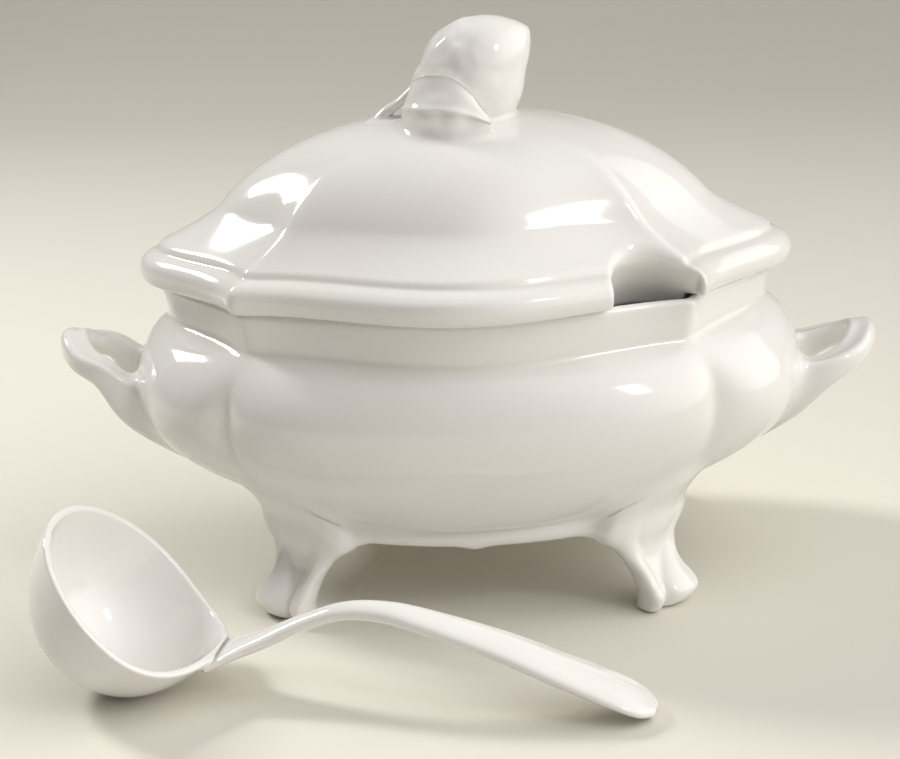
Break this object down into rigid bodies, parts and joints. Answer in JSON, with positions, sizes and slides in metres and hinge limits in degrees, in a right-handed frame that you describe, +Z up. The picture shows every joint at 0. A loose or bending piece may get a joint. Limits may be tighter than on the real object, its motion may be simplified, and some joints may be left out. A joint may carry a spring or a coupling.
{
  "type": "soup tureen",
  "caption": "Lobed oval soup tureen on scroll feet, with loop handles, a domed lid with fruit finial and ladle notch, and a matching ladle for serving.",
  "frame": {"origin": "on the table, under the middle of the set's bounding box", "axes": "+X along the tureen's length, through both handles, +Z up, front with the ladle towards -Y"},
  "size_m": [0.38, 0.2986, 0.2573],
  "materials": {
    "glaze": "gloss"
  },
  "bodies": {
    "tureen": {"bowl": "glaze", "foot_front_right": "glaze", "foot_front_left": "glaze", "foot_back_right": "glaze", "foot_back_left": "glaze", "handle_right": "glaze", "handle_left": "glaze"},
    "lid": {"lid": "glaze", "finial_fruit": "glaze", "finial_leaf": "glaze", "finial_stem": "glaze"},
    "ladle": {"ladle_cup": "glaze", "ladle_handle": "glaze"}
  },
  "joints": [
    {"name": "lid_lift", "type": "slide", "parent": "tureen", "child": "lid", "axis": [0, 0, 1], "range_m": [0, 0.2]},
    {"name": "ladle_lift", "type": "slide", "parent": "tureen", "child": "ladle", "axis": [0, 0, 1], "range_m": [0, 0.25]}
  ]
}
